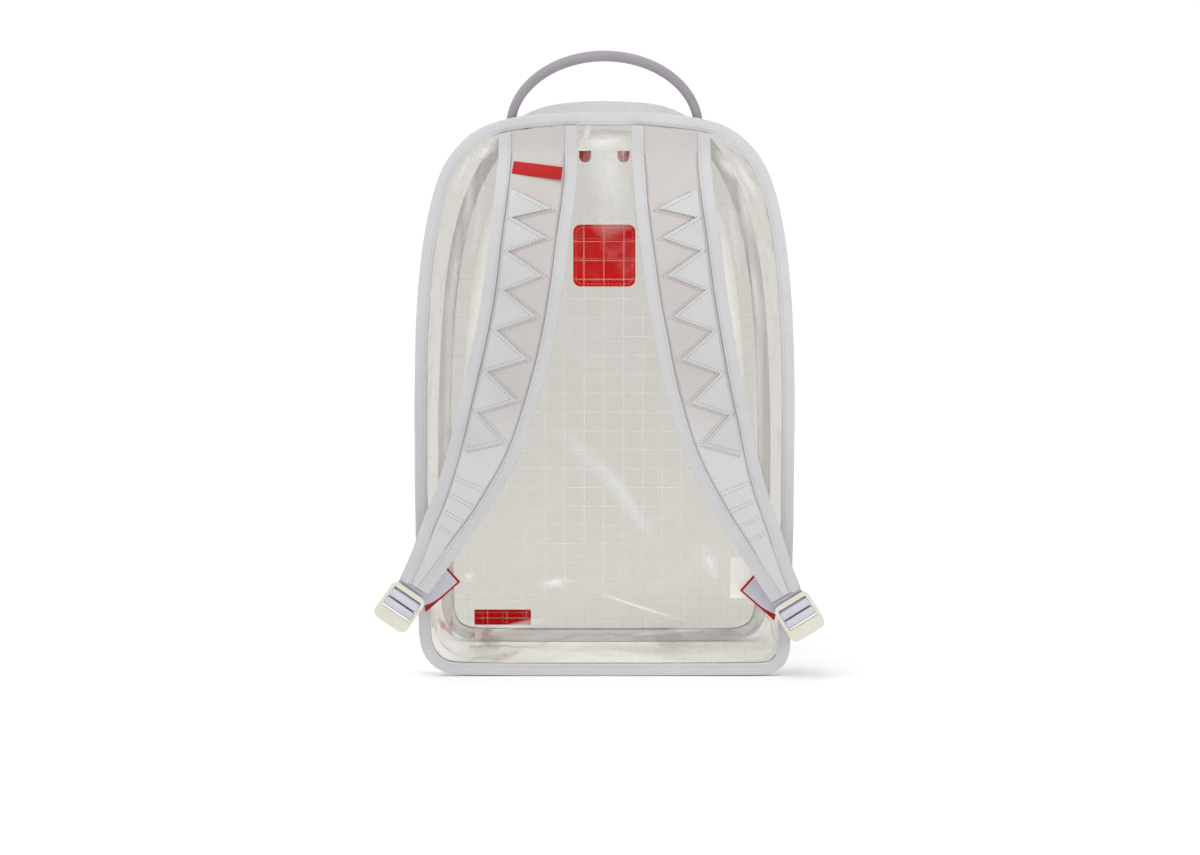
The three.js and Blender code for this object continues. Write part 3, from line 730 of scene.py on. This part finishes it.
def outlineOf(node, inset):
    # closed loop of a flat panel's outline, moved inwards
    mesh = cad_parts[node].data
    corners = {(round(v.co.x, 5), round(v.co.z, 5)) for v in mesh.vertices}
    middle = tapeForm["middle"]
    points = sorted((Vector(c) for c in corners), key=lambda p: math.atan2(p.x, p.y - middle))
    count = len(points)
    moved = []
    for i, p in enumerate(points):
        run = (points[(i + 1) % count] - points[i - 1]).normalized()
        moved.append(p + Vector((run.y, -run.x)) * inset)
    return moved + moved[:1]


def seamStitches(node, tape, facing, name):
    stitch = stitchShape(tapeForm["stitch"], tapeForm["thread"])
    start = tapeForm["dropFrom"][node]
    loop = [Vector((p.x, start, p.y)) for p in outlineOf(node, tapeForm["row"])]
    places = []
    for at, run in evenPlaces(loop, tapeForm["pitch"]):
        hit = dropOn([tape], at, Vector((0, facing, 0)))
        if hit:
            places.append((hit[0], run, hit[1]))
    row = repeatShape(stitch, places, name)
    removePiece(stitch)
    finishPiece(row, "bag", "binding_tape", cloth["seamThread"])


seamStitches("back_panel", backTape, 1, "back_seam_stitches")
seamStitches("front_panel", frontTape, -1, "front_seam_stitches")
print("seam tapes made")


# Shoulder straps follow the rows of the part's own table, in millimetres until they are placed
strapForm = {
    "width": 63.0, "bow": 36.0, "back": 4.25, "halfBag": 153.0, "height": 457.0, "binding": 10.0,
    "padBevel": 0.7 * mm, "overlayBevel": 0.22 * mm, "bindingBevel": 0.4 * mm,
    # the waves fade out over the last stretch below the seam
    "noise": 0.06, "wave": 1.8 * mm, "still": 0.425, "stillOver": 0.02, "lengthSteps": 60,
    # turn in degrees, inward, down
    "hang": {"left": (35.0, 0.0, 0.0), "right": (32.0, 7.0, 7.0)},
    # across, up, bow, width, hang
    "rows": [
        (0.345, 0.952, 0, 1, 0), (0.346, 0.918, 0.12, 1, 0), (0.36, 0.86, 0.5, 1, 0),
        (0.39, 0.785, 0.84, 1, 0), (0.432, 0.68, 1, 1, 0), (0.503, 0.565, 1, 0.99, 0.15),
        (0.595, 0.45, 0.92, 0.93, 0.35), (0.714, 0.345, 0.76, 0.75, 0.5),
        (0.84, 0.267, 0.56, 0.61, 0.7), (0.92, 0.214, 0.44, 0.5, 0.85), (1, 0.168, 0.36, 0.42, 1),
    ],
}
strapStitch = {
    "length": 1.7 * mm, "thread": 0.38 * mm, "pitch": 2.9 * mm, "apart": 1.7,
    "zigzag": {"from": 0.2, "to": 0.64, "tip": -0.22, "root": 0.24, "teeth": 7},
    "bars": (0.69, 0.725, 0.76, 0.795), "barApart": 2.6, "barClear": 1.5,
    "bindingRow": 8.0, "bindingSteps": 80, "dropFrom": 0.03, "rayEvery": 2, "sharpest": 0.35,
}
sides = {"left": -1, "right": 1}


def splinePoint(points, share):
    # centripetal curve through the rows, which gives near rows short handles
    last = len(points) - 1
    k = min(int(share * last), last - 1)
    t = share * last - k
    p1, p2 = points[k], points[k + 1]
    p0 = points[k - 1] if k > 0 else p1 * 2 - p2
    p3 = points[k + 2] if k + 2 <= last else p2 * 2 - p1
    d0, d1, d2 = (max((b - a).length, 1e-6) ** 0.5 for a, b in ((p0, p1), (p1, p2), (p2, p3)))
    m1 = ((p1 - p0) / d0 - (p2 - p0) / (d0 + d1) + (p2 - p1) / d1) * d1
    m2 = ((p2 - p1) / d1 - (p3 - p1) / (d1 + d2) + (p3 - p2) / d2) * d1
    return p1 + m1 * t + (p2 * 3 - p1 * 3 - m1 * 2 - m2) * t**2 + (p1 * 2 - p2 * 2 + m1 + m2) * t**3


def strapLine(name):
    _, inward, down = strapForm["hang"][name]
    side = sides[name]
    places, widths = [], []
    for across, up, bow, width, hang in strapForm["rows"]:
        x = side * (across * strapForm["halfBag"] - hang * inward)
        y = -strapForm["back"] - bow * strapForm["bow"]
        places.append(Vector((x, y, up * strapForm["height"] - hang * down)))
        widths.append(Vector((width * strapForm["width"], 0, 0)))
    return places, widths


def strapFrame(name, share):
    places, widths = strapLine(name)
    step = 1e-4
    run = splinePoint(places, min(share + step, 1)) - splinePoint(places, max(share - step, 0))
    across = Vector((0, -1, 0)).cross(run.normalized()).normalized()
    if across.x * sides[name] < 0:
        across.negate()
    return splinePoint(places, share), across, splinePoint(widths, share).x / 2


def onStrap(name, share, u):
    at, across, _ = strapFrame(name, share)
    return (at + across * u) * mm


def strapLength(name):
    places, _ = strapLine(name)
    steps = strapForm["lengthSteps"]
    points = [splinePoint(places, k / steps) for k in range(steps + 1)]
    return sum((b - a).length for a, b in zip(points, points[1:]))


def softStrap(piece):
    def weight(co):
        return smoothStep((strapForm["still"] - co.z) / strapForm["stillOver"])

    loosen(piece, weight, "strap_waves", strapForm["noise"], strapForm["wave"])


def offsetLine(points, distance):
    # a line of (across, along) points moved sideways, with its corners kept sharp
    moved = []
    for i, p in enumerate(points):
        before = (p - points[i - 1]).normalized() if i else None
        after = (points[i + 1] - p).normalized() if i + 1 < len(points) else None
        before, after = before or after, after or before
        bisector = Vector((-(before + after).y, (before + after).x)).normalized()
        lean = bisector.dot(Vector((-before.y, before.x)))
        moved.append(p + bisector * (distance / max(lean, strapStitch["sharpest"])))
    return moved


def strapRow(name, line, stitch, targets, rowName):
    # the line is (across, along) in millimetres, dropped on the strap's outer face
    length = strapLength(name)
    dense = []
    for a, b in zip(line, line[1:]):
        steps = max(1, int((b - a).length / strapStitch["rayEvery"]))
        dense += [a.lerp(b, k / steps) for k in range(steps)]
    dense.append(line[-1])
    points = [onStrap(name, min(p.y / length, 1), p.x) for p in dense]
    places = []
    for at, run in evenPlaces(points, strapStitch["pitch"]):
        hit = dropOn(targets, at - Vector((0, strapStitch["dropFrom"], 0)), Vector((0, 1, 0)))
        if hit:
            places.append((hit[0], run, hit[1]))
    return repeatShape(stitch, places, rowName)


def joinRows(rows, name, slot, material):
    only(rows[0])
    for row in rows:
        row.select_set(True)
    bpy.ops.object.join()
    rows[0].name = name
    finishPiece(rows[0], "bag", slot, material)


def strapCloth(name):
    pad = copyOf(f"strap_pad_{name}", f"pad_{name}")
    soften(pad, strapForm["padBevel"])
    softStrap(pad)
    finishPiece(pad, "bag", "strap_cloth", cloth["strap"], f"strap_pad_{name}")
    overlay = copyOf(f"strap_overlay_{name}", f"overlay_{name}")
    soften(overlay, strapForm["overlayBevel"], levels=0)
    softStrap(overlay)
    shadeByAngle(overlay, angle=35)
    finishPiece(overlay, "bag", "overlay_cloth", cloth["overlay"], f"strap_overlay_{name}")
    tapes = []
    for edge in ("outer", "inner"):
        node = f"strap_binding_{edge}_{name}"
        tape = copyOf(node, f"tape_{edge}_{name}")
        soften(tape, strapForm["bindingBevel"])
        softStrap(tape)
        tapes.append(finishPiece(tape, "bag", "binding_tape", cloth["strapEdge"], node))
    return pad, overlay, tapes


def faceStitches(name, stitch, targets):
    # a double row along the zigzag, then double bars across
    length = strapLength(name)
    form = strapStitch["zigzag"]
    corners = []
    for i in range(2 * form["teeth"] + 1):
        share = form["from"] + (form["to"] - form["from"]) * i / (2 * form["teeth"])
        half = strapFrame(name, share)[2]
        corners.append(Vector(((form["tip"] if i % 2 else form["root"]) * 2 * half, share * length)))
    rows = []
    for k, away in enumerate((strapStitch["apart"], -strapStitch["apart"])):
        line = offsetLine(corners, away)
        rows.append(strapRow(name, line, stitch, targets, f"zigzag_{k}_{name}"))
    for k, share in enumerate(strapStitch["bars"]):
        reach = strapFrame(name, share)[2] - strapForm["binding"] - strapStitch["barClear"]
        for away in (-0.5, 0.5):
            s = share * length + away * strapStitch["barApart"]
            bar = [Vector((-reach, s)), Vector((reach, s))]
            rows.append(strapRow(name, bar, stitch, targets, f"bar_{k}_{name}"))
    joinRows(rows, f"strap_stitches_{name}", "strap_cloth", cloth["thread"])


def edgeStitches(name, stitch, tapes):
    length = strapLength(name)
    steps = strapStitch["bindingSteps"]
    rows = []
    for edge in (1, -1):
        line = []
        for k in range(steps + 1):
            away = strapFrame(name, k / steps)[2] - strapStitch["bindingRow"]
            line.append(Vector((edge * away, k / steps * length)))
        rows.append(strapRow(name, line, stitch, tapes, f"edge_{edge}_{name}"))
    joinRows(rows, f"strap_edge_stitches_{name}", "binding_tape", cloth["seamThread"])


for strapName in sides:
    pad, overlay, tapes = strapCloth(strapName)
    strapThread = stitchShape(strapStitch["length"], strapStitch["thread"])
    faceStitches(strapName, strapThread, [pad, overlay, *tapes])
    edgeStitches(strapName, strapThread, tapes)
    removePiece(strapThread)
print("shoulder straps made")


# Ladder buckles: the moulded frame with a lip that turns up at its lower end
buckleForm = {
    "half": 16.5, "fromPad": 4.7, "bevel": 0.8 * mm,
    "lipFrom": 6.1, "lift": 1.8, "liftOver": 10, "cuts": (0.6, 2.2, 4.2, 6.4, 8.6),
}
webbingForm = {"bevel": 0.25 * mm, "tabBevel": 0.2 * mm}
for name, side in sides.items():
    buckle = copyOf(f"buckle_{name}", f"ladder_buckle_{name}", quads=False)
    turn = math.radians(strapForm["hang"][name][0])
    along = Vector((side * math.sin(turn), 0, -math.cos(turn)))
    centre = strapFrame(name, 1)[0] + along * (buckleForm["half"] + buckleForm["fromPad"])
    editing(buckle)
    for step in buckleForm["cuts"]:
        place = centre + along * (buckleForm["lipFrom"] + step)
        bpy.ops.mesh.select_all(action="SELECT")
        bpy.ops.mesh.bisect(plane_co=place * mm, plane_no=along)
    done()
    for vertex in buckle.data.vertices:
        reach = (vertex.co / mm - centre).dot(along) - buckleForm["lipFrom"]
        vertex.co.y -= buckleForm["lift"] * mm * smoothStep(reach / buckleForm["liftOver"])
    soften(buckle, buckleForm["bevel"], segments=3, levels=0, angle=30)
    shadeByAngle(buckle)
    finishPiece(buckle, "bag", "buckle_plastic", moulded["buckle"], f"buckle_{name}")

    for node, label in (("strap_tongue", "tongue"), ("webbing", "lower_webbing")):
        band = copyOf(f"{node}_{name}", f"{label}_{name}")
        soften(band, webbingForm["bevel"])
        finishPiece(band, "bag", "webbing", cloth["webbing"], f"{node}_{name}")
    tab = copyOf(f"seam_tab_{name}", f"red_tab_{name}")
    soften(tab, webbingForm["tabBevel"], levels=0)
    finishPiece(tab, "bag", "red_cloth", cloth["redTab"], f"seam_tab_{name}")
print("buckles, webbing and tabs made")


# Carry handle: a doubled band with two rows of stitches on its outer face
handleForm = {
    "y": 17.25, "row": 10.4, "centre": 440.0, "reach": 0.13, "from": 14, "to": 166, "steps": 96,
    "fatten": 1.4 * mm, "bevel": 0.6 * mm,
}
handle = copyOf("carry_handle", "handle_band")
editing(handle)
bpy.ops.transform.shrink_fatten(value=handleForm["fatten"])
done()
soften(handle, handleForm["bevel"])
finishPiece(handle, "bag", "handle_cloth", cloth["handle"], "carry_handle")
handleThread = stitchShape(tapeForm["stitch"], tapeForm["thread"])
handlePlaces = []
for away in (-handleForm["row"], handleForm["row"]):
    arc = []
    middle = Vector((0, handleForm["y"] + away, handleForm["centre"])) * mm
    sweep = handleForm["to"] - handleForm["from"]
    for k in range(handleForm["steps"] + 1):
        angle = math.radians(handleForm["from"] + sweep * k / handleForm["steps"])
        ray = Vector((math.cos(angle), 0, math.sin(angle)))
        hit = dropOn([handle], middle + ray * handleForm["reach"], -ray)
        if hit:
            arc.append((hit[0], hit[1]))
    line = [place for place, _ in arc]
    for at, run in evenPlaces(line, tapeForm["pitch"]):
        nearest = min(arc, key=lambda row: (row[0] - at).length)
        handlePlaces.append((at, run, nearest[1]))
handleRows = repeatShape(handleThread, handlePlaces, "handle_stitches")
finishPiece(handleRows, "bag", "handle_cloth", cloth["seamThread"])
removePiece(handleThread)
print("handle made")


# Zip: woven tape, moulded teeth, plated sliders and red pulls
zipForm = {
    "tooth": (1.15 * mm, 4.6 * mm, 1.5 * mm), "toothBevel": 0.35 * mm, "pitch": 2.0 * mm, "cross": 5.0 * mm,
    "seat": 0.1 * mm, "middle": 0.23, "narrow": 0.36, "tapeBevel": 0.2 * mm, "near": 0.1 * mm,
    "sliderBevel": 0.25 * mm, "pullBevel": 0.3 * mm,
}


def zipLine():
    # middles of the strip's cross edges, from one end of the zip to the other
    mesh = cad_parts["zip_teeth"].data
    low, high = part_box("zip_teeth")
    middles = set()
    for edge in mesh.edges:
        a, b = (mesh.vertices[i].co for i in edge.vertices)
        onFace = max(high.y - a.y, high.y - b.y) < zipForm["near"]
        if onFace and abs((a - b).length - zipForm["cross"]) < zipForm["near"]:
            middle = (a + b) / 2
            middles.add((round(middle.x, 5), round(middle.z, 5)))
    ordered = sorted(middles, key=lambda p: math.atan2(p[0], p[1] - zipForm["middle"]))
    y = low.y + zipForm["tooth"][2] / 2 + zipForm["seat"]
    return [Vector((x, y, z)) for x, z in ordered]


tape = copyOf("zip_tape", "zip_band")
zipMiddles = zipLine()
for vertex in tape.data.vertices:
    # the tape is drawn in towards the middle of the zip
    nearest = min(zipMiddles, key=lambda p: (p.x - vertex.co.x) ** 2 + (p.z - vertex.co.z) ** 2)
    vertex.co.x += (nearest.x - vertex.co.x) * zipForm["narrow"]
    vertex.co.z += (nearest.z - vertex.co.z) * zipForm["narrow"]
soften(tape, zipForm["tapeBevel"], segments=1, levels=0)
finishPiece(tape, "bag", "zip_tape", cloth["zipTape"], "zip_tape")

bpy.ops.mesh.primitive_cube_add(size=1, location=(0, 0, 0))
tooth = bpy.context.object
bpy.ops.object.mode_set(mode="EDIT")
bpy.ops.mesh.select_all(action="SELECT")
bpy.ops.transform.resize(value=zipForm["tooth"], center_override=(0, 0, 0))
bpy.ops.mesh.bevel(offset=zipForm["toothBevel"], segments=1, affect="EDGES")
done()
toothPlaces = [(at, run, Vector((0, 1, 0))) for at, run in evenPlaces(zipMiddles, zipForm["pitch"])]
teeth = repeatShape(tooth, toothPlaces, "zip_coil")
finishPiece(teeth, "bag", "zip_teeth", moulded["teeth"], "zip_teeth")
removePiece(tooth)
for name in sides:
    slider = copyOf(f"zip_slider_{name}", f"slider_{name}", quads=False)
    soften(slider, zipForm["sliderBevel"], levels=0, angle=40)
    shadeByAngle(slider)
    finishPiece(slider, "bag", "slider_metal", moulded["slider"], f"zip_slider_{name}")
    pull = copyOf(f"zip_pull_{name}", f"red_pull_{name}", quads=False)
    soften(pull, zipForm["pullBevel"], segments=3, levels=0, angle=40)
    shadeByAngle(pull)
    finishPiece(pull, f"pull_{name}", "red_rubber", moulded["pull"], f"zip_pull_{name}")
print("zip made")


# Patches and labels, all bare
patchForm = {
    "half": 26.0, "row": 2.4, "rowCorner": 5.0, "cornerSteps": 6, "centre": (0.0, 327.5), "bevel": 0.25 * mm,
    "pitch": 3.4 * mm, "stitch": 2.3 * mm, "thread": 0.42 * mm, "dropFrom": (0.1, 0.2),
    "cut": 6 * mm, "across": (-24 * mm, 26 * mm), "up": (303 * mm, 353 * mm),
    "barAcross": (-108 * mm, -62 * mm),
}
labelForm = {
    "cut": 4 * mm, "across": (104 * mm, 135 * mm), "up": (66 * mm, 96 * mm),
    "seam": 134 * mm, "curlOver": 20 * mm, "noise": 0.03, "curl": 3 * mm, "level": 0.2,
}
badgeForm = {"turn": 4.0, "bevel": 0.2 * mm}  # the turn, in degrees, lays the badge flatter than its solid


def onFrontFilm(piece):
    # the same waves as the front film, so that the trim follows it
    noise, wave = filmForm["faceNoise"], filmForm["faceWave"]
    loosen(piece, frontWeight, "front_film_waves", noise, wave, "Y", filmForm["frontLevel"])


patch = copyOf("front_patch", "red_patch")
soften(patch, patchForm["bevel"], levels=0)
cutAcross(patch, 0, patchForm["cut"], *patchForm["across"])
cutAcross(patch, 2, patchForm["cut"], *patchForm["up"])
onFrontFilm(patch)
finishPiece(patch, "bag", "red_film", moulded["patch"], "front_patch")
barPatch = copyOf("front_bar_label", "red_bar")
cutAcross(barPatch, 0, patchForm["cut"], *patchForm["barAcross"])
onFrontFilm(barPatch)
finishPiece(barPatch, "bag", "red_film", moulded["patch"], "front_bar_label")


def squareLoop(half, corner, centre):
    points = []
    steps = patchForm["cornerSteps"]
    for k, (sx, sz) in enumerate(((1, -1), (1, 1), (-1, 1), (-1, -1))):
        for step in range(steps + 1):
            angle = math.radians(-90 + 90 * k + 90 / steps * step)
            x = sx * (half - corner) + corner * math.cos(angle)
            z = sz * (half - corner) + corner * math.sin(angle)
            points.append(Vector(((centre[0] + x) * mm, 0, (centre[1] + z) * mm)))
    return points + points[:1]


patchStitch = stitchShape(patchForm["stitch"], patchForm["thread"])
loop = squareLoop(patchForm["half"] - patchForm["row"], patchForm["rowCorner"], patchForm["centre"])
patchPlaces = []
for at, run in evenPlaces(loop, patchForm["pitch"]):
    for start, way, target in zip(patchForm["dropFrom"], (1, -1), (frontFilm, patch)):
        hit = dropOn([target], Vector((at.x, start, at.z)), Vector((0, way, 0)))
        if hit:
            patchPlaces.append((hit[0], run, hit[1]))
patchRows = repeatShape(patchStitch, patchPlaces, "patch_stitches")
finishPiece(patchRows, "bag", "red_film", cloth["redThread"])
removePiece(patchStitch)

badge = copyOf("strap_label", "bare_badge")
low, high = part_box("strap_label")
editing(badge)
turn = math.radians(badgeForm["turn"])
bpy.ops.transform.rotate(value=turn, orient_axis="Y", center_override=(low + high) / 2)
done()
soften(badge, badgeForm["bevel"], levels=0)
softStrap(badge)
finishPiece(badge, "bag", "red_film", cloth["redTab"], "strap_label")
label = copyOf("inner_label", "bare_label")
cutAcross(label, 0, labelForm["cut"], *labelForm["across"])
cutAcross(label, 2, labelForm["cut"], *labelForm["up"])


def offSeam(co):
    return smoothStep((labelForm["seam"] - co.x) / labelForm["curlOver"])


loosen(label, offSeam, "label_curl", labelForm["noise"], labelForm["curl"], "Y", labelForm["level"])
finishPiece(label, "bag", "label_cloth", cloth["label"], "inner_label")
print("patches and labels made")
